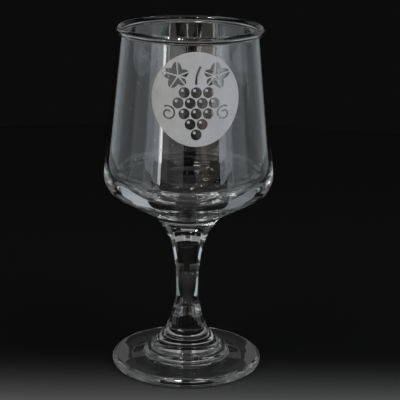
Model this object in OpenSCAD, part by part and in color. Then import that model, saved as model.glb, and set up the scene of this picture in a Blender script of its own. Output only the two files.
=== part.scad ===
// Stemmed wine glass: a blown bowl, a solid stem and a pressed foot fused together.
// A thin frosted oval with a vine design lies on the front of the bowl.
// Millimetres. The axis of the glass is Z and the table is z = 0. The oval faces -Y.

/* [Overall] */
// Height from the table to the top of the rim
height = 142; // [138:1:148]
// Diameter over the bead of the rim
rim_d = 59; // [58:0.2:60]
// Diameter of the foot
foot_d = 62.2; // [58:0.2:66]

/* [Bowl] */
// Diameter at the shoulder, where the lines of wall and underside cross before rounding
shoulder_d = 70.2; // [69:0.2:72]
// Height of that crossing
shoulder_z = 76.2; // [75:0.2:78]
// Radius that rounds the shoulder outside
shoulder_round = 9; // [7:0.5:10]
// Radius that rounds the shoulder inside
inside_round = 10; // [8:0.5:12]
// Thickness of the wall at the rim
wall_rim_t = 1.25; // [1:0.05:1.5]
// Thickness of the wall at the shoulder
wall_low_t = 1.8; // [1.5:0.1:2.2]
// Thickness of the bead round the rim
bead_t = 2.7; // [2.4:0.1:3]
// How far the bead stands out from the wall
bead_proud = 1.1; // [0.8:0.1:1.2]
// Height of the inside floor at the axis
floor_z = 68.5; // [67:0.5:70]

/* [Stem] */
// Diameter where the underside of the bowl turns down into the neck
neck_d = 26.4; // [25:0.2:28]
// Height of that turn
neck_z = 64; // [63:0.2:65]
// Diameter where the neck turns down into the stem
throat_d = 14; // [13:0.2:15]
// Height of that turn
throat_z = 54.4; // [53:0.2:55]
// Diameter of the waist
waist_d = 9.2; // [8.6:0.1:10]
// Height of the lower end of the waist
waist_low_z = 27; // [26:0.5:28]
// Height of the upper end of the waist
waist_high_z = 41; // [40:0.5:42]
// Height of the fused seam between bowl and stem
bowl_seam_z = 58; // [57:0.5:60]

/* [Foot] */
// Diameter of the fused seam between stem and foot
foot_seam_d = 15.5; // [15:0.1:16.5]
// Height of that seam
foot_seam_z = 17; // [16:0.2:18]
// How far the glass swells out round that seam
weld_proud = 0.3; // [0.1:0.05:0.4]
// Diameter of the faint crease on the cone, below the seam
crease_d = 18.6; // [18:0.2:19.4]
// Height of the crease
crease_z = 13.9; // [13.2:0.1:14.4]
// Diameter of the lower end of the cone
cone_d = 29.6; // [28.8:0.2:30.4]
// Height of the lower end of the cone
cone_z = 8.4; // [8.2:0.1:9]
// Diameter of the raised ring round the cone
ring_d = 35.8; // [35:0.2:37]
// Height of the top of the ring
ring_z = 7.2; // [7:0.1:7.5]
// Thickness of the foot at its edge
edge_t = 4; // [3.6:0.1:4.2]
// Diameter of the hollow under the foot
hollow_d = 46; // [40:1:50]
// How far the hollow rises at the axis
hollow_rise = 1.2; // [0.6:0.1:1.6]

/* [Frosted oval] */
// Width of the oval, straight across
oval_w = 33.4; // [33:0.2:34]
// Height of the oval
oval_h = 35.9; // [35.5:0.1:36]
// Height of the middle of the oval
oval_z = 118.6; // [118:0.2:119]
// Thickness of the frosted coat
coat_t = 0.1; // [0.08:0.01:0.2]
// Diameter of a grape
grape_d = 4.2; // [3.6:0.1:4.3]
// Length of a leaf from its middle to its tip
leaf_len = 6.2; // [5:0.1:6.5]
// Width of the veins of a leaf
vein_w = 0.5; // [0.3:0.05:0.6]

/* [Hidden] */
$fn = 128;
// Straight pieces that a rounded corner is drawn with
arc_steps = 10;
// Length that counts as nothing
tiny = 0.001;
// Radii that round the corners of the stem, from the top down
neck_round = 12;
throat_round = 30;
waist_high_round = 70;
waist_low_round = 36;
// Height of the swelling above the foot seam, and as much below it
weld_h = 0.8;
// Radii that round the corners of the foot, from the seam down
weld_round = 0.6;
crease_round = 1;
cone_round = 1;
groove_round = 0.3;
ring_round = 1.5;
ring_root_round = 0.5;
// The edge of the foot is a full round but for a narrow straight band
edge_flat = 0.2;
edge_round = (edge_t - edge_flat) / 2;
// Groove between cone and ring, and the root of the ring on the disc
groove_in = 0.2;
groove_drop = 0.3;
ring_root_in = 0.5;
disc_rise = 0.2;
// Flat middle of the inside floor
floor_flat_r = 6;
floor_flat_rise = 0.4;
floor_round = 30;
// Rim
bead_z = height - bead_t / 2;
bead_centre_r = (rim_d - bead_t) / 2;
wall_top_r = rim_d / 2 - bead_proud;
wall_in = (shoulder_d / 2 - wall_top_r) / (bead_z - shoulder_z);
// Layout of the motif, from the middle of the oval: grapes in each row of the bunch from the top, and so on
grape_rows = [3, 4, 3, 2, 1];
grape_step = [4.6, 4];
bunch_top = 2.6;
grape_dot_d = 1.1;
grape_dot_at = [-0.7, 0.8];
leaf_at = [7, 8.8];
leaf_turn = 14;
leaf_valley = 0.6;
leaf_shorten = 0.3;
leaf_step = 6;
leaf_lobe_angle = 72;
leaf_vein_angles = [0, 72, 144, 180, 216, 288, 360];
stalk_r = 12;
stalk_w = 0.9;
stalk_from = 150;
stalk_to = 184;
stalk_foot = [0, 5.6];
curl_at = [10.6, -5.4];
curl_r = [2.9, 0.9];
curl_turn = [60, 500];
curl_w = 0.6;
curl_steps = 30;

function unit(v) = v / norm(v);

function turned(v, angle) = [v.x * cos(angle) - v.y * sin(angle), v.x * sin(angle) + v.y * cos(angle)];

function polar(radius, angle) = radius * [cos(angle), sin(angle)];

// Half the angle between the two sides of corner b
function half_angle(a, b, c) = acos(unit(a - b) * unit(c - b)) / 2;

// Points of the arc that rounds corner b between a and c, from one tangent point to the other
function corner_arc(a, b, c, radius) =
    let (
        back = unit(a - b),
        ahead = unit(c - b),
        half = half_angle(a, b, c),
        centre = b + unit(back + ahead) * radius / sin(half),
        start = b + back * radius / tan(half) - centre,
        sweep = sign(cross(ahead, back)) * (180 - 2 * half)
    )
    [for (i = [0:arc_steps]) centre + turned(start, sweep * i / arc_steps)];

// Outline through corners given as [radius from the axis, height, rounding].
// Where two roundings would overlap on the side between them, both are made smaller until they just meet.
function rounded(corners) =
    let (
        last = len(corners) - 1,
        at = [for (c = corners) [c[0], c[1]]],
        plain = [for (i = [0:last]) i == 0 || i == last || corners[i][2] == 0],
        reach = [
            for (i = [0:last])
                plain[i] ? 0 : corners[i][2] / tan(half_angle(at[i - 1], at[i], at[i + 1]))
        ],
        room = [for (i = [1:last]) norm(at[i] - at[i - 1]) / max(reach[i] + reach[i - 1], tiny)]
    )
    [
        for (i = [0:last])
            each plain[i]
                ? [at[i]]
                : corner_arc(at[i - 1], at[i], at[i + 1], corners[i][2] * min(1, room[i - 1], room[i]))
    ];

// Half section of the whole glass as if it were solid
module glass_section() {
    hollow_steps = 8;
    hollow = [
        for (i = [0:hollow_steps - 1])
            [hollow_d / 2 * i / hollow_steps, hollow_rise * (1 - pow(i / hollow_steps, 2))]
    ];
    seam_r = foot_seam_d / 2;
    weld_low_r = seam_r + (crease_d / 2 - seam_r) * weld_h / (foot_seam_z - crease_z);
    weld_high_r = seam_r - (seam_r - waist_d / 2) * weld_h / (waist_low_z - foot_seam_z);
    outside = rounded([
        [hollow_d / 2, 0, 0],
        [foot_d / 2, 0, edge_round],
        [foot_d / 2, edge_t, edge_round],
        [ring_d / 2 - ring_root_in, edge_t + disc_rise, ring_root_round],
        [ring_d / 2, ring_z, ring_round],
        [cone_d / 2 - groove_in, ring_z - groove_drop, groove_round],
        [cone_d / 2, cone_z, cone_round],
        [crease_d / 2, crease_z, crease_round],
        [weld_low_r, foot_seam_z - weld_h, weld_round],
        [seam_r + weld_proud, foot_seam_z, 0],
        [weld_high_r, foot_seam_z + weld_h, weld_round],
        [waist_d / 2, waist_low_z, waist_low_round],
        [waist_d / 2, waist_high_z, waist_high_round],
        [throat_d / 2, throat_z, throat_round],
        [neck_d / 2, neck_z, neck_round],
        [shoulder_d / 2, shoulder_z, shoulder_round],
        [wall_top_r, bead_z, 0]
    ]);
    polygon(concat(hollow, outside, [[0, bead_z]]));
}

// Half section of the space inside the bowl
module cavity_section() {
    top_r = wall_top_r - wall_rim_t;
    inside = rounded([
        [0, floor_z, 0],
        [floor_flat_r, floor_z + floor_flat_rise, floor_round],
        [shoulder_d / 2 - wall_low_t, shoulder_z, inside_round],
        [top_r, bead_z, 0]
    ]);
    polygon(concat(inside, [[top_r, height], [0, height]]));
}

// Band of the section between two heights
module section_band(low, high) {
    translate([0, low])
        square([foot_d + shoulder_d, high - low]);
}

// Piece of the solid glass between two heights, turned about the axis
module turned_piece(low, high) {
    rotate_extrude()
        intersection() {
            glass_section();
            section_band(low, high);
        }
}

// Clear cell of a leaf between two veins, a and b being their angles
module leaf_cell(a, b) {
    gap = vein_w / 2;
    middle = (a + b) / 2;
    function edge_r(angle) =
        leaf_len
        * (1 - leaf_shorten * (1 - cos(angle)) / 2)
        * (leaf_valley + (1 - leaf_valley) * sqrt(1 - abs(sin(180 * angle / leaf_lobe_angle))));
    from = a + asin(gap / edge_r(a));
    to = b - asin(gap / edge_r(b));
    steps = ceil((to - from) / leaf_step);
    polygon(concat(
        [polar(gap / sin((b - a) / 2), middle)],
        [for (i = [0:steps]) let (angle = from + (to - from) * i / steps) polar(edge_r(angle), angle)]
    ));
}

module leaf() {
    for (i = [0:len(leaf_vein_angles) - 2])
        leaf_cell(leaf_vein_angles[i], leaf_vein_angles[i + 1]);
}

// Grapes of the bunch, each a ring of clear glass round a frosted dot
module grapes() {
    for (row = [0:len(grape_rows) - 1])
        for (i = [0:grape_rows[row] - 1])
            translate([(i - (grape_rows[row] - 1) / 2) * grape_step.x, bunch_top - row * grape_step.y])
                difference() {
                    circle(d = grape_d);
                    translate(grape_dot_at)
                        circle(d = grape_dot_d);
                }
}

// Curved band whose radius changes evenly with its angle
module curved_band(radii, angles, width, steps) {
    function at(i, side) =
        polar(radii[0] + (radii[1] - radii[0]) * i / steps + side * width / 2,
              angles[0] + (angles[1] - angles[0]) * i / steps);
    polygon(concat(
        [for (i = [0:steps]) at(i, 1)],
        [for (i = [steps:-1:0]) at(i, -1)]
    ));
}

// Stalk that rises from the bunch between the leaves
module stalk() {
    translate(stalk_foot - polar(stalk_r, stalk_to))
        curved_band([stalk_r, stalk_r], [stalk_from, stalk_to], stalk_w, arc_steps);
}

// Vine motif, left clear in the frosted oval
module vine() {
    grapes();
    stalk();
    for (side = [0, 1])
        mirror([side, 0]) {
            translate(leaf_at)
                rotate(leaf_turn)
                    leaf();
            translate(curl_at)
                curved_band(curl_r, curl_turn, curl_w, curl_steps);
        }
}

// Blown bowl with its beaded rim
module bowl() {
    color("lightsteelblue", 0.35)
        rotate_extrude()
            union() {
                difference() {
                    intersection() {
                        glass_section();
                        section_band(bowl_seam_z, height);
                    }
                    cavity_section();
                }
                translate([bead_centre_r, bead_z])
                    circle(d = bead_t);
            }
}

// Solid waisted stem
module stem() {
    color("lightsteelblue", 0.4)
        turned_piece(foot_seam_z, bowl_seam_z);
}

// Pressed foot with its ring and cone
module foot() {
    color("lightsteelblue", 0.45)
        turned_piece(0, foot_seam_z);
}

// Thin frosted coat that lies on the straight part of the wall
module frosted_oval() {
    margin = 1;
    low = oval_z - oval_h / 2 - margin;
    high = oval_z + oval_h / 2 + margin;
    function wall_r(z) = wall_top_r + wall_in * (bead_z - z);
    color("gainsboro", 0.9)
        intersection() {
            rotate_extrude()
                polygon([
                    [wall_r(low), low],
                    [wall_r(low) + coat_t, low],
                    [wall_r(high) + coat_t, high],
                    [wall_r(high), high]
                ]);
            translate([0, 0, oval_z])
                rotate([90, 0, 0])
                    linear_extrude(shoulder_d)
                        difference() {
                            scale([oval_w / 2, oval_h / 2])
                                circle(1);
                            vine();
                        }
        }
}

bowl();
stem();
foot();
frosted_oval();
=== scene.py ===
import math

import bpy
import numpy as np
from mathutils import Matrix, Vector
from mathutils.geometry import delaunay_2d_cdt


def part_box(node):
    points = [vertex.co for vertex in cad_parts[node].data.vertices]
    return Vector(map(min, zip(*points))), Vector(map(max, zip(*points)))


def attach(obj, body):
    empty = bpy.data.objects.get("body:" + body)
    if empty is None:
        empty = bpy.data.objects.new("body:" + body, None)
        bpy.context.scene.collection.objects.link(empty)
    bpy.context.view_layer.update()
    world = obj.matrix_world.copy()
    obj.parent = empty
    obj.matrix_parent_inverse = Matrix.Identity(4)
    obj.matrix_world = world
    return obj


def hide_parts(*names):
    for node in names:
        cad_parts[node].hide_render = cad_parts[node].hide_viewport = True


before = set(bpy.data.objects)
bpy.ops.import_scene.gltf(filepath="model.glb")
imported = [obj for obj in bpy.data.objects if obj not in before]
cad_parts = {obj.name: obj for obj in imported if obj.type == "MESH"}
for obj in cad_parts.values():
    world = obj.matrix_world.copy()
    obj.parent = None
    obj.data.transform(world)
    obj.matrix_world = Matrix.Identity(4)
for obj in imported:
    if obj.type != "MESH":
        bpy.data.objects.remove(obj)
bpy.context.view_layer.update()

MM = 0.001

# Sizes of the glass in millimetres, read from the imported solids
RIM_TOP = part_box("bowl")[1].z / MM
BOWL_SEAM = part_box("stem")[1].z / MM
FOOT_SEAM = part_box("stem")[0].z / MM
FOOT_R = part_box("foot")[1].x / MM
OVAL_LOW, OVAL_HIGH = (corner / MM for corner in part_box("frosted_oval"))

# Bowl: corners of its outline as radius and height, with the roundings between them
RIM_R = 29.5
BEAD_R = 1.35
BEAD_PROUD = 1.1
SHOULDER = (35.1, 76.2)
SHOULDER_ROUND = 9.0
INSIDE_ROUND = 10.0
WALL_RIM_T = 1.25
WALL_LOW_T = 1.8
FLOOR_Z = 68.5
FLOOR_FLAT = (6.0, 68.9)
FLOOR_ROUND = 30.0

# Faint rings on the bowl's underside
RIPPLE_LOW = 60.0
RIPPLE_HIGH = 76.0
RIPPLE_FADE = 2.0
RIPPLE_DEPTH = 0.04
RIPPLE_PITCH = 3.6

# Stem: turns of its outline from the bowl down to the foot
NECK = (13.2, 64.0)
NECK_ROUND = 12.0
THROAT = (7.0, 54.4)
THROAT_ROUND = 30.0
WAIST_R = 4.6
WAIST_HIGH_Z = 41.0
WAIST_HIGH_ROUND = 70.0
WAIST_LOW_Z = 27.0
WAIST_LOW_ROUND = 36.0

# Foot: swelling round the seam, cone, ring, disc and the hollow under it
FOOT_SEAM_R = 7.75
WELD_PROUD = 0.3
WELD_H = 0.8
WELD_ROUND = 0.6
CREASE = (9.3, 13.9)
CREASE_ROUND = 1.0
CONE = (14.8, 8.4)
CONE_ROUND = 1.0
GROOVE = (14.6, 6.9)
GROOVE_ROUND = 0.3
RING = (17.9, 7.2)
RING_ROUND = 1.5
RING_ROOT = (17.4, 4.2)
RING_ROOT_ROUND = 0.5
EDGE_T = 4.0
EDGE_ROUND = 1.9
HOLLOW_R = 23.0
HOLLOW_RISE = 1.2

# Rim circle and the crest of the swelling
BEAD_Z = RIM_TOP - BEAD_R
BEAD_CENTRE_R = RIM_R - BEAD_R
WALL_TOP_R = RIM_R - BEAD_PROUD
WELD_CREST = (FOOT_SEAM_R + WELD_PROUD, FOOT_SEAM)

# Fineness of the glass meshes: counts, and steps in millimetres or, round the bead, in degrees
SEGMENTS = 224
ARC_STEPS = 24
WALL_STEP = 0.6
FINE_STEP = 0.25
WELD_STEP = 0.12
HOLLOW_STEP = 1.0
BEAD_STEP = 4
EASE_PASSES = 10
FINE_EASE_PASSES = 2
RIM_BLEND_POINTS = 4

# Vine motif of the oval, in millimetres from the middle of the oval, as in the part's source
GRAPE_ROWS = (3, 4, 3, 2, 1)
GRAPE_STEP = (4.6, 4.0)
GRAPE_R = 2.1
GRAPE_DOT_R = 0.55
GRAPE_DOT_AT = (-0.7, 0.8)
BUNCH_TOP = 2.6
LEAF_AT = (7.0, 8.8)
LEAF_TURN = 14.0
LEAF_LEN = 6.2
LEAF_VALLEY = 0.6
LEAF_SHORTEN = 0.3
LEAF_LOBE_ANGLE = 72.0
LEAF_VEIN_ANGLES = (0, 72, 144, 180, 216, 288, 360)
VEIN_W = 0.5
STALK_R = 12.0
STALK_W = 0.9
STALK_ANGLES = (150.0, 184.0)
STALK_FOOT = (0.0, 5.6)
CURL_AT = (10.6, -5.4)
CURL_R = (2.9, 0.9)
CURL_ANGLES = (60.0, 500.0)
CURL_W = 0.6

# Frosted coat in millimetres: thickness, air under it, spacing of its points and how near two may merge
COAT_T = 0.1
COAT_GAP = 0.01
COAT_GRID = 0.7
COAT_MERGE = 1e-6

# Points or steps round the loops of the oval and the vine
OVAL_STEPS = 200
GRAPE_STEPS = 40
GRAPE_DOT_STEPS = 20
LEAF_CELL_POINTS = 22
STALK_STEPS = 16
CURL_STEPS = 60

# Camera, from the photograph: distances in millimetres, angles in degrees, and its range in metres
CAMERA_AZIMUTH = -4.75
CAMERA_REACH = 551.3
CAMERA_HEIGHT = 227.1
CAMERA_PITCH = 15.87
CAMERA_YAW = 0.5
CAMERA_ROLL = 0.9
CAMERA_LENS = 125.9
CAMERA_SENSOR = 36.0
CAMERA_RANGE = (0.01, 20.0)

# Floor in millimetres: pale on the camera's side, with painted shade darkening it behind the glass
FLOOR_R = 600.0
FLOOR_EDGE_STEPS = 96
FLOOR_FORWARD = 150.0
AIR_GAP = 0.1
FLOOR_PALE_TO = -210.0
FLOOR_DARK_FROM = 18.0
FLOOR_PALE = (0.62, 0.62, 0.61)
FLOOR_PAINTED_SHADE = (0.0048, 0.0048, 0.0047)
FLOOR_LEVEL = 0.62

# Colours of the glass where its cords are weak and strong, and of the coat where it is thin and full
BOWL_TINTS = ((0.975, 0.985, 0.98), (0.99, 0.993, 0.991))
STEM_TINTS = ((0.965, 0.98, 0.972), (0.98, 0.988, 0.984))
COAT_THIN = (0.37, 0.365, 0.37)
COAT_FULL = (0.46, 0.455, 0.46)

# How glass and coat bend light, the share that passes in a shadow, and the turns of light in the glass
GLASS_IOR = 1.52
COAT_IOR = 1.45
GLASS_SHADOW = (0.94, 0.95, 0.945, 1)
GLASS_BOUNCES = 40

# Grain of the finishes: pattern scales per metre, depths in metres, and how glass is drawn out upwards
BLOWN_WAVES = (70.0, 0.00001)
PRESSED_WAVES = (110.0, 0.00004)
DRAWN_OUT = (1.0, 1.0, 0.35)
CORD_SCALE = 160.0
SPECK_SCALE = 150.0
CLOUD_SCALE = 140.0
FROST_SCALE = 5200.0
FROST_DEPTH = 0.00002
PAPER_SCALE = 2500.0
PAPER_DEPTH = 0.00005

# Surroundings: what the glass and camera see, and what falls on matt surfaces
SEEN_DARK = (0.0037, 0.0037, 0.0036, 1)
MATT_FILL = (0.06, 0.06, 0.06, 1)

# Colours of the lamps
WHITE = (1.0, 1.0, 1.0)
COOL = (0.89, 0.95, 1.0)
BROWN = (1.0, 0.88, 0.78)
SOFT_WARM = (1.0, 0.98, 0.89)
SOFT_COOL = (0.87, 0.91, 1.0)

# Upright panels in metres: distance from the axis, and heights of their lower and upper edges
PANEL_REACH = 0.9
SIDE_HEIGHTS = (-0.1, 0.13)
STRIP_HEIGHTS = (0.022, 0.175)
NEAR_HEIGHTS = (0.02, 0.175)
NEXT_HEIGHTS = (0.0, 0.17)
FRONT_HEIGHTS = (0.03, 0.2)
FRONT_LOW_HEIGHTS = (0.03, 0.13)
FRONT_HIGH_HEIGHTS = (0.13, 0.2)
BACK_HEIGHTS = (0.22, 0.42)
BACK_LOW_HEIGHTS = (0.22, 0.29)
BACK_HIGH_HEIGHTS = (0.29, 0.42)
WINDOW_HEIGHTS = (0.35, 0.8)

# Cards on the floor in metres: height, and distances of their near and far edges from the axis
CARD_LIFT = 0.001
CORNER_CARD = (0.15, 0.39)
SIDE_CARD = (0.15, 0.4)
MOUTH_CARD = (0.3, 0.5)
SPOT_CARD = (0.29, 0.38)
DEEP_SPOT_CARD = (0.25, 0.38)
FOOT_CARD = (0.045, 0.125)

# High lamps in metres: distance, heights that they point at, sizes, and the sparkle's brightness
LAMP_REACH = 1.0
SPARKLE_AIM = 0.1
SPARKLE_WIDE = (0.12, 0.05)
SPARKLE_NARROW = (0.08, 0.05)
SPARKLE_RADIANCE = 250.0
SOFT_AIM = 0.08
SOFT_SIZE = (0.8, 0.8)


def unit(vector):
    """The vector's direction, of length 1."""
    return vector / np.linalg.norm(vector)


def corner_arc(before, corner, after, radius):
    """Points of the arc that rounds a corner of an outline."""
    back = unit(before - corner)
    ahead = unit(after - corner)
    half = math.acos(back @ ahead) / 2
    centre = corner + unit(back + ahead) * radius / math.sin(half)
    start = corner + back * radius / math.tan(half) - centre
    sweep = math.copysign(math.pi - 2 * half, ahead[0] * back[1] - ahead[1] * back[0])
    arc = []
    for angle in np.linspace(0, sweep, ARC_STEPS + 1):
        turn = np.array([[math.cos(angle), -math.sin(angle)], [math.sin(angle), math.cos(angle)]])
        arc.append(centre + turn @ start)
    return arc


def rounded(corners):
    """Outline through (radius, height, rounding) corners, each rounded by an arc."""
    points = [np.array(corner[:2], float) for corner in corners]
    outline = []
    for i, (_, _, radius) in enumerate(corners):
        if radius:
            outline += corner_arc(points[i - 1], points[i], points[i + 1], radius)
        else:
            outline.append(points[i])
    return np.array(outline)


def resampled(outline, step):
    """The same outline with evenly spaced points."""
    lengths = np.linalg.norm(np.diff(outline, axis=0), axis=1)
    along = np.concatenate([[0], np.cumsum(lengths)])
    even = np.linspace(0, along[-1], max(2, round(along[-1] / step)) + 1)
    return np.column_stack([np.interp(even, along, outline[:, k]) for k in (0, 1)])


def softened(outline, passes):
    """The outline with its changes of curvature eased, as hot glass flows. Its ends stay."""
    eased = outline.copy()
    for _ in range(passes):
        eased[1:-1] = (eased[:-2] + 2 * eased[1:-1] + eased[2:]) / 4
    return eased


def rippled(outline):
    """The outline with the faint rings that the mould leaves on the underside of the bowl."""
    along = np.gradient(outline, axis=0)
    outward = np.column_stack([along[:, 1], -along[:, 0]]) / np.linalg.norm(along, axis=1)[:, None]
    rings = np.sin(2 * math.pi * outline[:, 0] / RIPPLE_PITCH)
    below, above = outline[:, 1] - RIPPLE_LOW, RIPPLE_HIGH - outline[:, 1]
    share = np.clip(np.minimum(below, above) / RIPPLE_FADE, 0, 1)
    return outline + outward * (RIPPLE_DEPTH * share * rings)[:, None]


def split_at(outline, height):
    """The parts of a rising outline below and above a height, sharing a point there."""
    i = int(np.argmax(outline[:, 1] > height))
    low, high = outline[i - 1], outline[i]
    cut = low + (high - low) * (height - low[1]) / (high[1] - low[1])
    return np.vstack([outline[:i], cut]), np.vstack([cut, outline[i:]])


def wall_outside(z):
    """Radius of the straight outside of the bowl's wall at a height."""
    return WALL_TOP_R + (SHOULDER[0] - WALL_TOP_R) * (BEAD_Z - z) / (BEAD_Z - SHOULDER[1])


def wall_inside(z):
    """Radius of the straight inside of the bowl's wall at a height."""
    top = WALL_TOP_R - WALL_RIM_T
    return top + (SHOULDER[0] - WALL_LOW_T - top) * (BEAD_Z - z) / (BEAD_Z - SHOULDER[1])


def flank(z):
    """Point of the straight flank at a height: the stem's above the foot seam, the cone's below it."""
    end = (WAIST_R, WAIST_LOW_Z) if z > FOOT_SEAM else CREASE
    return FOOT_SEAM_R + (end[0] - FOOT_SEAM_R) * (z - FOOT_SEAM) / (end[1] - FOOT_SEAM), z


def weld_outline():
    """Upper half of the swelling round the foot seam, from its crest up to the stem's flank."""
    outline = rounded([
        (*WELD_CREST, 0),
        (*flank(FOOT_SEAM + WELD_H), WELD_ROUND),
        (*flank(FOOT_SEAM + 2 * WELD_H), 0),
    ])
    return resampled(outline, WELD_STEP)


def outside_outline():
    """Outline from the foot seam up to the bead, split into the stem's part and the bowl's."""
    outline = rounded([
        (FOOT_SEAM_R, FOOT_SEAM, 0),
        (WAIST_R, WAIST_LOW_Z, WAIST_LOW_ROUND),
        (WAIST_R, WAIST_HIGH_Z, WAIST_HIGH_ROUND),
        (*THROAT, THROAT_ROUND),
        (*NECK, NECK_ROUND),
        (*SHOULDER, SHOULDER_ROUND),
        (WALL_TOP_R, BEAD_Z, 0),
    ])
    eased = softened(resampled(outline, WALL_STEP), EASE_PASSES)
    weld = weld_outline()
    return split_at(rippled(np.vstack([weld, eased[eased[:, 1] > weld[-1][1]]])), BOWL_SEAM)


def inside_outline():
    """Outline of the inside of the bowl, from the axis up to the bead."""
    outline = rounded([
        (0, FLOOR_Z, 0),
        (*FLOOR_FLAT, FLOOR_ROUND),
        (SHOULDER[0] - WALL_LOW_T, SHOULDER[1], INSIDE_ROUND),
        (WALL_TOP_R - WALL_RIM_T, BEAD_Z, 0),
    ])
    return softened(resampled(outline, WALL_STEP), EASE_PASSES)


def bead_outline():
    """The free part of the bead's circle, from the outside of the wall over the top to the inside."""
    angles = np.radians(np.arange(-90, 271, BEAD_STEP))
    circle = np.column_stack([
        BEAD_CENTRE_R + BEAD_R * np.cos(angles),
        BEAD_Z + BEAD_R * np.sin(angles),
    ])
    return np.array([(r, z) for r, z in circle if z > BEAD_Z or r > wall_outside(z) or r < wall_inside(z)])


def bowl_outline(outside):
    """Half section of the bowl, from the axis at the seam to the axis at the floor."""
    bead = bead_outline()
    wall = outside[outside[:, 1] < bead[0][1]]
    inside = inside_outline()[::-1]
    inside = inside[inside[:, 1] < bead[-1][1]]
    near = RIM_BLEND_POINTS
    rim = np.vstack([wall[-near:], bead, inside[:near]])
    rim = softened(resampled(rim, FINE_STEP), FINE_EASE_PASSES)
    return np.vstack([[(0, BOWL_SEAM)], wall[:-near], rim, inside[near:]])


def stem_outline(outside):
    """Half section of the stem, from the axis at the foot seam to the axis at the bowl seam."""
    return np.vstack([[(0, FOOT_SEAM)], outside, [(0, BOWL_SEAM)]])


def foot_outline():
    """Half section of the foot, from the axis in the hollow to the axis at the seam."""
    radii = np.arange(0, HOLLOW_R, HOLLOW_STEP)
    hollow = np.column_stack([radii, HOLLOW_RISE * (1 - (radii / HOLLOW_R) ** 2)])
    outline = rounded([
        (HOLLOW_R, 0, 0),
        (FOOT_R, 0, EDGE_ROUND),
        (FOOT_R, EDGE_T, EDGE_ROUND),
        (*RING_ROOT, RING_ROOT_ROUND),
        (*RING, RING_ROUND),
        (*GROOVE, GROOVE_ROUND),
        (*CONE, CONE_ROUND),
        (*CREASE, CREASE_ROUND),
        (*flank(FOOT_SEAM - WELD_H), WELD_ROUND),
        (*WELD_CREST, 0),
    ])
    outline = softened(resampled(outline, WELD_STEP), FINE_EASE_PASSES)
    return np.vstack([hollow, outline, [(0, FOOT_SEAM)]])


def turned_points(outline):
    """Points of an outline turned about Z, ring after ring, and then its two ends on the axis."""
    angles = np.linspace(0, 2 * math.pi, SEGMENTS, endpoint=False)
    rings = outline[1:-1]
    turned = np.empty((len(rings), SEGMENTS, 3))
    turned[:, :, 0] = rings[:, :1] * np.cos(angles)
    turned[:, :, 1] = rings[:, :1] * np.sin(angles)
    turned[:, :, 2] = rings[:, 1:]
    ends = np.array([(0, 0, outline[0][1]), (0, 0, outline[-1][1])])
    return np.vstack([turned.reshape(-1, 3), ends]) * MM


def turned_faces(ring_count):
    """Faces of a turned solid: a fan round the first end, bands between rings, a fan round the last end."""
    first = ring_count * SEGMENTS
    top = first - SEGMENTS
    around = [(k, (k + 1) % SEGMENTS) for k in range(SEGMENTS)]
    faces = [(first, b, a) for a, b in around]
    for low in range(0, top, SEGMENTS):
        high = low + SEGMENTS
        faces += [(low + a, low + b, high + b, high + a) for a, b in around]
    return faces + [(first + 1, top + a, top + b) for a, b in around]


def sharpen_ring(mesh, start):
    """Make the edges round one ring of a turned solid sharp."""
    for edge in mesh.edges:
        if all(start <= corner < start + SEGMENTS for corner in edge.vertices):
            edge.use_edge_sharp = True


def lathe(name, outline, seam_first=False, seam_last=False):
    """Solid turned about Z from an outline that starts and ends on the axis.

    The fan of faces at either end can be a fused seam, which has the second material and a sharp edge.
    """
    faces = turned_faces(len(outline) - 2)
    mesh = bpy.data.meshes.new(name)
    mesh.from_pydata(turned_points(outline).tolist(), [], faces)
    slots = np.zeros(len(faces), np.int32)
    slots[:SEGMENTS] = int(seam_first)
    slots[-SEGMENTS:] = int(seam_last)
    mesh.polygons.foreach_set("material_index", slots)
    if seam_first:
        sharpen_ring(mesh, 0)
    if seam_last:
        sharpen_ring(mesh, (len(outline) - 3) * SEGMENTS)
    return smooth_piece(name, mesh)


def smooth_piece(name, mesh):
    """Object with smooth shading, except along edges that are marked sharp."""
    mesh.polygons.foreach_set("use_smooth", np.ones(len(mesh.polygons), bool))
    mesh.update()
    piece = bpy.data.objects.new(name, mesh)
    bpy.context.scene.collection.objects.link(piece)
    return piece


def polar(radius, degrees):
    """Point at a distance and direction from the origin."""
    return np.array([radius * math.cos(math.radians(degrees)), radius * math.sin(math.radians(degrees))])


def ellipse(centre, half_w, half_h, steps):
    """Closed loop of an ellipse."""
    angles = np.linspace(0, 2 * math.pi, steps, endpoint=False)
    return np.column_stack([centre[0] + half_w * np.cos(angles), centre[1] + half_h * np.sin(angles)])


def leaf_edge(degrees):
    """Radius of a lobed leaf in a direction from its middle, the tip being at 0."""
    lobe = math.sqrt(max(0.0, 1 - abs(math.sin(math.pi * degrees / LEAF_LOBE_ANGLE))))
    taper = 1 - LEAF_SHORTEN * (1 - math.cos(math.radians(degrees))) / 2
    return LEAF_LEN * taper * (LEAF_VALLEY + (1 - LEAF_VALLEY) * lobe)


def leaf_cell(a, b):
    """Clear cell of a leaf between veins at angles a and b."""
    gap = VEIN_W / 2
    start = a + math.degrees(math.asin(gap / leaf_edge(a)))
    end = b - math.degrees(math.asin(gap / leaf_edge(b)))
    apex = polar(gap / math.sin(math.radians((b - a) / 2)), (a + b) / 2)
    edge = [polar(leaf_edge(angle), angle) for angle in np.linspace(start, end, LEAF_CELL_POINTS)]
    return np.vstack([apex, edge])


def curved_band(radii, angles, width, steps):
    """Band along an arc whose radius changes evenly."""
    middle = list(zip(np.linspace(*radii, steps + 1), np.linspace(*angles, steps + 1)))
    outer = [polar(radius + width / 2, angle) for radius, angle in middle]
    inner = [polar(radius - width / 2, angle) for radius, angle in reversed(middle)]
    return np.array(outer + inner)


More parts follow.
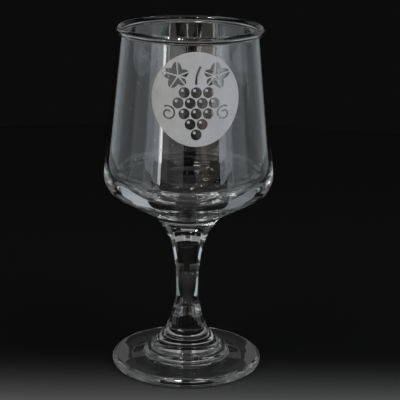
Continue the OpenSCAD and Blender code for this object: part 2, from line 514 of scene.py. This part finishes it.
def grape_loops():
    """Loops of the bunch: each grape is clear, round a frosted dot."""
    loops = []
    for row, count in enumerate(GRAPE_ROWS):
        for i in range(count):
            at = np.array([(i - (count - 1) / 2) * GRAPE_STEP[0], BUNCH_TOP - row * GRAPE_STEP[1]])
            loops.append(ellipse(at, GRAPE_R, GRAPE_R, GRAPE_STEPS))
            loops.append(ellipse(at + GRAPE_DOT_AT, GRAPE_DOT_R, GRAPE_DOT_R, GRAPE_DOT_STEPS))
    return loops


def vine_loops():
    """Closed loops of the whole vine, which part clear glass from frosted."""
    stalk = curved_band((STALK_R, STALK_R), STALK_ANGLES, STALK_W, STALK_STEPS)
    loops = grape_loops() + [stalk + STALK_FOOT - polar(STALK_R, STALK_ANGLES[1])]
    turn = math.radians(LEAF_TURN)
    turning = np.array([[math.cos(turn), math.sin(turn)], [-math.sin(turn), math.cos(turn)]])
    for side in (1, -1):
        flip = np.array([side, 1])
        for a, b in zip(LEAF_VEIN_ANGLES, LEAF_VEIN_ANGLES[1:]):
            loops.append((leaf_cell(a, b) @ turning + LEAF_AT) * flip)
        loops.append((curved_band(CURL_R, CURL_ANGLES, CURL_W, CURL_STEPS) + CURL_AT) * flip)
    return loops


def inside_loop(points, loop):
    """Which of the points lie inside a closed loop."""
    found = np.zeros(len(points), bool)
    for (x0, y0), (x1, y1) in zip(loop, np.roll(loop, -1, axis=0)):
        crosses = (y0 > points[:, 1]) != (y1 > points[:, 1])
        reach = x0 + (points[:, 1] - y0) * (x1 - x0) / (y1 - y0 if y1 != y0 else 1)
        found ^= crosses & (points[:, 0] < reach)
    return found


def filling_points(loops, half_w, half_h):
    """Evenly spaced points inside the first loop that keep clear of every loop's own points."""
    columns = np.arange(-half_w, half_w, COAT_GRID)
    rows = np.arange(-half_h, half_h, COAT_GRID)
    across, up = np.meshgrid(columns, rows)
    grid = np.column_stack([across.ravel(), up.ravel()])
    boundary = np.vstack(loops)
    nearest = np.array([np.min(np.sum((boundary - point) ** 2, axis=1)) for point in grid])
    return grid[(nearest > (COAT_GRID / 2) ** 2) & inside_loop(grid, loops[0])]


def flat_coat(half_w, half_h):
    """Points and triangles of the oval laid flat, with the vine cut out of it."""
    loops = [ellipse((0, 0), half_w, half_h, OVAL_STEPS)] + vine_loops()
    edges = []
    for loop in loops:
        start = len(edges)
        edges += [(start + k, start + (k + 1) % len(loop)) for k in range(len(loop))]
    given = np.vstack(loops + [filling_points(loops, half_w, half_h)])
    found = delaunay_2d_cdt([Vector(point) for point in given], edges, [], 0, COAT_MERGE)
    points = np.array([point[:] for point in found[0]])
    triangles = np.array(found[2])
    middles = points[triangles].mean(axis=1)
    layers = sum(inside_loop(middles, loop).astype(int) for loop in loops)
    triangles = triangles[layers % 2 == 1]
    used, renumbered = np.unique(triangles, return_inverse=True)
    return points[used], renumbered.reshape(-1, 3)


def on_wall(points, middle_z, lift):
    """Flat points of the oval moved onto the front of the bowl's wall, a little off its surface."""
    z = middle_z + points[:, 1]
    radius = wall_outside(z) + lift
    return np.column_stack([points[:, 0], -np.sqrt(radius ** 2 - points[:, 0] ** 2), z]) * MM


def make_frosted_coat():
    """Thin coat on the front of the bowl, with the vine cut clear through it."""
    half_w, half_h = (OVAL_HIGH.x - OVAL_LOW.x) / 2, (OVAL_HIGH.z - OVAL_LOW.z) / 2
    middle_z = (OVAL_HIGH.z + OVAL_LOW.z) / 2
    points, triangles = flat_coat(half_w, half_h)
    count = len(points)
    outer = [tuple(triangle) for triangle in triangles.tolist()]
    sides = {(t[k], t[(k + 1) % 3]) for t in outer for k in range(3)}
    rims = sorted((a, b) for a, b in sides if (b, a) not in sides)
    inner = [(c + count, b + count, a + count) for a, b, c in outer]
    walls = [(b, a, a + count, b + count) for a, b in rims]
    mesh = bpy.data.meshes.new("frosted_coat")
    layers = [on_wall(points, middle_z, COAT_T), on_wall(points, middle_z, COAT_GAP)]
    mesh.from_pydata(np.vstack(layers).tolist(), [], outer + inner + walls)
    rim_edges = {frozenset((a + lift, b + lift)) for a, b in rims for lift in (0, count)}
    for edge in mesh.edges:
        if frozenset(edge.vertices) in rim_edges:
            edge.use_edge_sharp = True
    return smooth_piece("frosted_coat", mesh)


class Nodes:
    """Short way to add and link the nodes of one tree."""

    def __init__(self, tree):
        self.tree = tree
        tree.nodes.clear()

    def add(self, kind, **values):
        """New node. A value that is a node's output is linked, any other is set."""
        node = self.tree.nodes.new(kind)
        for name, value in values.items():
            if hasattr(node, name):
                setattr(node, name, value)
            else:
                self.feed(node.inputs[name.replace("_", " ")], value)
        return node

    def feed(self, socket, value):
        """Link a node's output to a socket, or set the socket to a plain value."""
        if isinstance(value, bpy.types.NodeSocket):
            self.tree.links.new(value, socket)
        else:
            socket.default_value = value

    def noise(self, place, scale, detail=2.0, roughness=0.5):
        """Cloudy value from 0 to 1 that varies over the surface."""
        node = self.add("ShaderNodeTexNoise", Vector=place, Scale=scale, Detail=detail, Roughness=roughness)
        return node.outputs[0]

    def spread(self, value, given, wanted, kind="LINEAR"):
        """A value's range, from low to high, mapped to another range."""
        node = self.add("ShaderNodeMapRange", interpolation_type=kind, Value=value)
        for name, limit in zip(("From Min", "From Max", "To Min", "To Max"), (*given, *wanted)):
            node.inputs[name].default_value = limit
        return node.outputs["Result"]

    def blend(self, share, first, second):
        """Colour between two colours."""
        node = self.add("ShaderNodeMix", data_type="RGBA")
        self.feed(node.inputs[0], share)
        self.feed(node.inputs[6], (*first, 1))
        self.feed(node.inputs[7], (*second, 1))
        return node.outputs[2]

    def bump(self, height, distance, strength=1.0):
        """Surface direction bent by a height."""
        node = self.add("ShaderNodeBump", Height=height, Distance=distance, Strength=strength)
        return node.outputs["Normal"]

    def mix(self, share, first, second):
        """Surface or light between two others."""
        node = self.add("ShaderNodeMixShader")
        for socket, value in zip(node.inputs, (share, first, second)):
            self.feed(socket, value)
        return node.outputs[0]

    def object_place(self):
        """Place on the surface, in metres."""
        return self.add("ShaderNodeTexCoord").outputs["Object"]

    def finish(self, shader):
        """Give the material its surface."""
        self.add("ShaderNodeOutputMaterial", Surface=shader)


def new_material(name):
    """Empty material and its nodes."""
    material = bpy.data.materials.new(name)
    material.use_nodes = True
    return material, Nodes(material.node_tree)


def glass_surface():
    """Unevenness of worked glass: slow waves in its surface, faint cords, and a few specks."""
    group = bpy.data.node_groups.new("glass_surface", "ShaderNodeTree")
    for name in ("Wave Scale", "Wave Depth"):
        group.interface.new_socket(name, in_out="INPUT", socket_type="NodeSocketFloat")
    for name, kind in (("Cord", "Float"), ("Roughness", "Float"), ("Normal", "Vector")):
        group.interface.new_socket(name, in_out="OUTPUT", socket_type="NodeSocket" + kind)
    nodes = Nodes(group)
    given = nodes.add("NodeGroupInput").outputs
    place = nodes.object_place()
    drawn = nodes.add("ShaderNodeMapping", Vector=place, Scale=DRAWN_OUT).outputs[0]
    waves = nodes.noise(drawn, given["Wave Scale"], detail=1.5)
    cords = nodes.noise(drawn, CORD_SCALE)
    specks = nodes.add("ShaderNodeTexVoronoi", Vector=place, Scale=SPECK_SCALE).outputs["Distance"]
    result = nodes.add("NodeGroupOutput")
    nodes.feed(result.inputs["Cord"], nodes.spread(cords, (0.35, 0.65), (0.0, 1.0)))
    nodes.feed(result.inputs["Roughness"], nodes.spread(specks, (0.02, 0.04), (0.45, 0.0)))
    nodes.feed(result.inputs["Normal"], nodes.bump(waves, given["Wave Depth"]))
    return group


def clear_glass(name, surface, tints, waves):
    """Clear glass. Lamps shine through it with a slight loss, so that it casts a soft shadow."""
    material, nodes = new_material(name)
    wave_scale, wave_depth = waves
    uneven = nodes.add("ShaderNodeGroup", node_tree=surface, Wave_Scale=wave_scale, Wave_Depth=wave_depth)
    glass = nodes.add(
        "ShaderNodeBsdfPrincipled",
        Base_Color=nodes.blend(uneven.outputs["Cord"], *tints),
        Roughness=uneven.outputs["Roughness"],
        Normal=uneven.outputs["Normal"],
        IOR=GLASS_IOR,
        Transmission_Weight=1.0,
    )
    through = nodes.add("ShaderNodeBsdfTransparent", Color=GLASS_SHADOW)
    shadow_ray = nodes.add("ShaderNodeLightPath").outputs["Is Shadow Ray"]
    nodes.finish(nodes.mix(shadow_ray, glass.outputs[0], through.outputs[0]))
    return material


def fused_seam():
    """Face where two pieces of glass are melted into one, so light crosses it unbent."""
    material, nodes = new_material("fused_seam")
    nodes.finish(nodes.add("ShaderNodeBsdfTransparent").outputs[0])
    return material


def frosted_finish():
    """White frosted coat with a fine matt grain and slight clouding."""
    material, nodes = new_material("frosted_coat")
    place = nodes.object_place()
    cloud = nodes.noise(place, CLOUD_SCALE, detail=3.0, roughness=0.6)
    grain = nodes.noise(place, FROST_SCALE, roughness=0.7)
    coat = nodes.add(
        "ShaderNodeBsdfPrincipled",
        Base_Color=nodes.blend(nodes.spread(cloud, (0.3, 0.75), (0.0, 1.0)), COAT_THIN, COAT_FULL),
        Roughness=nodes.spread(grain, (0.3, 0.7), (0.65, 0.85)),
        Normal=nodes.bump(grain, FROST_DEPTH, strength=0.25),
        IOR=COAT_IOR,
    )
    nodes.finish(coat.outputs[0])
    return material


def floor_finish():
    """Matt paper, pale in front, with painted shade darkening it behind the glass. In the glass it shows
    evenly lit.
    """
    material, nodes = new_material("paper_with_painted_shade")
    place = nodes.object_place()
    depth = nodes.add("ShaderNodeSeparateXYZ", Vector=place).outputs["Y"]
    tooth = nodes.noise(place, PAPER_SCALE, detail=3.0, roughness=0.6)
    # Painted shade: the paper darkens behind the glass in place of light falling off, not by a colour of
    # its own.
    fade_range = (FLOOR_PALE_TO * MM, FLOOR_DARK_FROM * MM)
    painted_shade = nodes.spread(depth, fade_range, (0.0, 1.0), "SMOOTHERSTEP")
    colour = nodes.blend(painted_shade, FLOOR_PALE, FLOOR_PAINTED_SHADE)
    paper = nodes.add(
        "ShaderNodeBsdfPrincipled",
        Base_Color=colour,
        Roughness=nodes.spread(tooth, (0.3, 0.7), (0.9, 1.0)),
        Normal=nodes.bump(tooth, PAPER_DEPTH, strength=0.2),
        Specular_IOR_Level=0.0,
    )
    even = nodes.add("ShaderNodeEmission", Color=colour, Strength=FLOOR_LEVEL)
    rays = nodes.add("ShaderNodeLightPath").outputs
    mirrored = nodes.mix(rays["Is Glossy Ray"], paper.outputs[0], even.outputs[0])
    nodes.finish(nodes.mix(rays["Is Transmission Ray"], mirrored, even.outputs[0]))
    return material


def direction(azimuth, elevation=0.0):
    """Direction from the glass. Azimuth 0 is the camera's side, and positive is to the camera's right."""
    angle = math.radians(azimuth + CAMERA_AZIMUTH)
    lift = math.radians(elevation)
    return Vector((math.sin(angle) * math.cos(lift), -math.cos(angle) * math.cos(lift), math.sin(lift)))


def make_floor():
    """Round sheet that the glass stands on, most of it on the camera's side."""
    edge = ellipse((0, -FLOOR_FORWARD), FLOOR_R, FLOOR_R, FLOOR_EDGE_STEPS)
    corners = [(x * MM, y * MM, 0) for x, y in edge]
    mesh = bpy.data.meshes.new("floor")
    mesh.from_pydata(corners, [], [tuple(range(len(corners)))])
    mesh.materials.append(floor_finish())
    floor = bpy.data.objects.new("floor", mesh)
    floor.location.z = -AIR_GAP * MM
    floor.rotation_euler.z = math.radians(CAMERA_AZIMUTH)
    bpy.context.scene.collection.objects.link(floor)


def lamp_panel(name, middle, facing, size, radiance, colour):
    """Flat lamp of even brightness, out of the camera's sight. Its size is its width and height."""
    width, height = size
    data = bpy.data.lights.new(name, "AREA")
    data.shape = "RECTANGLE"
    data.size = width
    data.size_y = height
    data.energy = radiance * math.pi * width * height
    data.color = colour
    lamp = bpy.data.objects.new(name, data)
    lamp.location = middle
    lamp.rotation_mode = "QUATERNION"
    lamp.rotation_quaternion = facing.to_track_quat("Z", "Y")
    lamp.visible_camera = False
    bpy.context.scene.collection.objects.link(lamp)
    return lamp


def wall_light(name, azimuths, heights, radiance, colour=WHITE):
    """Upright panel from one azimuth to another that only the glass shows."""
    first, last = azimuths
    bottom, top = heights
    away = direction((first + last) / 2)
    middle = away * PANEL_REACH
    middle.z = (bottom + top) / 2
    width = 2 * PANEL_REACH * math.tan(math.radians(last - first) / 2)
    lamp = lamp_panel(name, middle, away, (width, top - bottom), radiance, colour)
    lamp.visible_diffuse = False


def card_light(name, azimuths, edges, radiance, colour=WHITE):
    """Bright card lying on the floor, from one azimuth to another, that only the glass shows."""
    first, last = azimuths
    near, far = edges
    turn = (first + last) / 2
    middle = direction(turn) * (near + far) / 2
    middle.z = CARD_LIFT
    width = (near + far) * math.tan(math.radians(last - first) / 2)
    lamp = lamp_panel(name, middle, direction(turn), (width, far - near), radiance, colour)
    lamp.rotation_mode = "XYZ"
    lamp.rotation_euler = (math.pi, 0, math.radians(turn + CAMERA_AZIMUTH))
    lamp.visible_diffuse = False


def sparkle_light(name, azimuth, elevation, size, radiance):
    """Lamp high up that only the glass shows."""
    away = direction(azimuth, elevation)
    middle = Vector((0, 0, SPARKLE_AIM)) + away * LAMP_REACH
    lamp = lamp_panel(name, middle, away, size, radiance, WHITE)
    lamp.visible_diffuse = False


def soft_light(name, azimuth, elevation, radiance, colour):
    """Large lamp that lights the matt surfaces and isn't mirrored in the glass."""
    away = direction(azimuth, elevation)
    middle = Vector((0, 0, SOFT_AIM)) + away * LAMP_REACH
    lamp = lamp_panel(name, middle, away, SOFT_SIZE, radiance, colour)
    lamp.visible_glossy = False
    lamp.visible_transmission = False


def side_lights():
    """Low panels to the left and right, brightest towards the front."""
    wall_light("left_strip", (-41.2, -37.2), STRIP_HEIGHTS, 8.0)
    wall_light("left_light_a", (-50, -41.2), NEAR_HEIGHTS, 2.0, COOL)
    wall_light("left_light_b", (-62, -50), NEXT_HEIGHTS, 1.4, COOL)
    wall_light("left_light_c", (-86, -62), SIDE_HEIGHTS, 0.65, COOL)
    wall_light("left_light_d", (-112, -86), SIDE_HEIGHTS, 0.37, COOL)
    wall_light("left_light_e", (-124, -112), SIDE_HEIGHTS, 0.52, COOL)
    wall_light("left_light_f", (-139, -124), SIDE_HEIGHTS, 0.58, COOL)
    wall_light("right_light_a", (42, 52), NEAR_HEIGHTS, 2.3, COOL)
    wall_light("right_light_b", (52, 62), NEXT_HEIGHTS, 1.5, COOL)
    wall_light("right_light_c", (62, 86), SIDE_HEIGHTS, 0.8, COOL)
    wall_light("right_light_d", (86, 112), SIDE_HEIGHTS, 0.36, COOL)
    wall_light("right_light_e", (112, 124), SIDE_HEIGHTS, 0.4, COOL)
    wall_light("right_light_f", (124, 139), SIDE_HEIGHTS, 0.55, COOL)


def front_lights():
    """Dim panels on either side of the camera, those on its right brown."""
    wall_light("front_left", (-37.2, -28), FRONT_HEIGHTS, 0.75)
    wall_light("front_left_low", (-28, -7), FRONT_LOW_HEIGHTS, 0.45)
    wall_light("front_right_low_a", (10, 17), FRONT_LOW_HEIGHTS, 0.3, BROWN)
    wall_light("front_right_low_b", (17, 24), FRONT_LOW_HEIGHTS, 0.6, BROWN)
    wall_light("front_right_low_c", (24, 42), FRONT_LOW_HEIGHTS, 0.35, BROWN)
    wall_light("front_left_high", (-28, -7), FRONT_HIGH_HEIGHTS, 0.9)
    wall_light("front_right_high", (10, 42), FRONT_HIGH_HEIGHTS, 0.9, BROWN)


def floor_cards():
    """Cards on the floor round the camera's side: the mouth of the glass and its rim show them."""
    card_light("corner_card_a", (-46, -40), CORNER_CARD, 1.8)
    card_light("corner_card_b", (-52, -46), CORNER_CARD, 1.2, COOL)
    card_light("side_card", (-66, -52), SIDE_CARD, 0.7, COOL)
    card_light("mouth_card_left", (-110, -66), MOUTH_CARD, 0.7, COOL)
    card_light("mouth_card_right", (44, 110), MOUTH_CARD, 0.65, COOL)
    card_light("spot_card_a", (-19.2, -11.8), SPOT_CARD, 2.6, BROWN)
    card_light("spot_card_b", (4.2, 7.2), SPOT_CARD, 3.0, BROWN)
    card_light("spot_card_c", (36.6, 39.6), DEEP_SPOT_CARD, 1.5)


def base_lights():
    """Lights behind the glass and cards beside its foot, for the thick glass of base, stem and foot."""
    wall_light("back_light_left", (-172, -148), BACK_HEIGHTS, 0.22)
    wall_light("back_light_right", (148, 172), BACK_HEIGHTS, 0.24)
    wall_light("back_light_low", (175.2, 184.8), BACK_LOW_HEIGHTS, 0.24)
    wall_light("back_light_high", (175.2, 184.8), BACK_HIGH_HEIGHTS, 0.06)
    wall_light("foot_light_left", (-175.2, -172), BACK_HEIGHTS, 0.36)
    wall_light("foot_light_right", (172, 175.2), BACK_HEIGHTS, 0.38)
    wall_light("back_window_left", (-150, -126), WINDOW_HEIGHTS, 0.35)
    wall_light("back_window_right", (126, 150), WINDOW_HEIGHTS, 0.18)
    card_light("foot_card_left", (-138, -96), FOOT_CARD, 0.42, COOL)
    card_light("foot_card_right", (96, 138), FOOT_CARD, 0.2, COOL)


def high_lamps():
    """Wide dim lamp overhead, small bright lamps for sparkle, and two for the stem."""
    sparkle_light("top_light", 0, 89, (0.5, 0.5), 0.3)
    sparkle_light("lamp_a", -23, 68, SPARKLE_WIDE, SPARKLE_RADIANCE)
    sparkle_light("lamp_b", -62, 68, SPARKLE_NARROW, SPARKLE_RADIANCE)
    sparkle_light("lamp_c", -17.5, 53, SPARKLE_WIDE, SPARKLE_RADIANCE)
    sparkle_light("stem_lamp_left", -36, 47, (0.12, 0.12), 2.0)
    sparkle_light("stem_lamp_right", 24, 47, (0.1, 0.1), 2.4)


def light_stage():
    """Lights that only the glass shows, and soft light for the matt surfaces."""
    side_lights()
    front_lights()
    floor_cards()
    base_lights()
    high_lamps()
    soft_light("soft_light_left", -56, 50, 3.1, SOFT_WARM)
    soft_light("soft_light_right", 60, 50, 4.6, SOFT_COOL)


def dark_surroundings():
    """Dark all round for what the glass shows, with some soft light on matt surfaces."""
    world = bpy.data.worlds.new("surroundings")
    bpy.context.scene.world = world
    world.use_nodes = True
    nodes = Nodes(world.node_tree)
    seen = nodes.add("ShaderNodeBackground", Color=SEEN_DARK)
    fill = nodes.add("ShaderNodeBackground", Color=MATT_FILL)
    diffuse_ray = nodes.add("ShaderNodeLightPath").outputs["Is Diffuse Ray"]
    nodes.add("ShaderNodeOutputWorld", Surface=nodes.mix(diffuse_ray, seen.outputs[0], fill.outputs[0]))


def make_camera():
    """Camera a little above the rim, looking down at the glass, turned and rolled as in the photograph."""
    data = bpy.data.cameras.new("camera")
    data.lens = CAMERA_LENS
    data.sensor_width = CAMERA_SENSOR
    data.clip_start, data.clip_end = CAMERA_RANGE
    camera = bpy.data.objects.new("camera", data)
    bpy.context.scene.collection.objects.link(camera)
    round_axis = Matrix.Rotation(math.radians(CAMERA_AZIMUTH), 4, "Z")
    place = Matrix.Translation((0, -CAMERA_REACH * MM, CAMERA_HEIGHT * MM))
    yaw = Matrix.Rotation(math.radians(-CAMERA_YAW), 4, "Z")
    pitch = Matrix.Rotation(math.radians(90 - CAMERA_PITCH), 4, "X")
    roll = Matrix.Rotation(math.radians(CAMERA_ROLL), 4, "Z")
    camera.matrix_world = round_axis @ place @ yaw @ pitch @ roll
    bpy.context.scene.camera = camera


def render_settings():
    """Plain view, and enough turns of light for thick glass."""
    bpy.context.scene.view_settings.view_transform = "Standard"
    cycles = bpy.context.scene.cycles
    cycles.caustics_refractive = False
    cycles.caustics_reflective = False
    cycles.max_bounces = GLASS_BOUNCES
    cycles.glossy_bounces = GLASS_BOUNCES
    cycles.transmission_bounces = GLASS_BOUNCES


def finish_piece(piece, node, slot, *materials):
    """Dress a piece in its materials and put it in the place of its CAD node."""
    for material in materials:
        piece.data.materials.append(material)
    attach(piece, "root")
    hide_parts(node)


def build_glass():
    """The fused glass pieces and the frosted coat."""
    surface = glass_surface()
    seam = fused_seam()
    blown = clear_glass("blown_glass", surface, BOWL_TINTS, BLOWN_WAVES)
    pressed = clear_glass("pressed_glass", surface, STEM_TINTS, PRESSED_WAVES)
    stem_side, bowl_side = outside_outline()
    bowl = lathe("glass_bowl", bowl_outline(bowl_side), seam_first=True)
    finish_piece(bowl, "bowl", "clear_glass", blown, seam)
    stem = lathe("glass_stem", stem_outline(stem_side), seam_first=True, seam_last=True)
    finish_piece(stem, "stem", "clear_glass", pressed, seam)
    foot = lathe("glass_foot", foot_outline(), seam_last=True)
    finish_piece(foot, "foot", "clear_glass", pressed, seam)
    finish_piece(make_frosted_coat(), "frosted_oval", "frosted_coat", frosted_finish())


make_camera()
build_glass()
make_floor()
light_stage()
dark_surroundings()
render_settings()
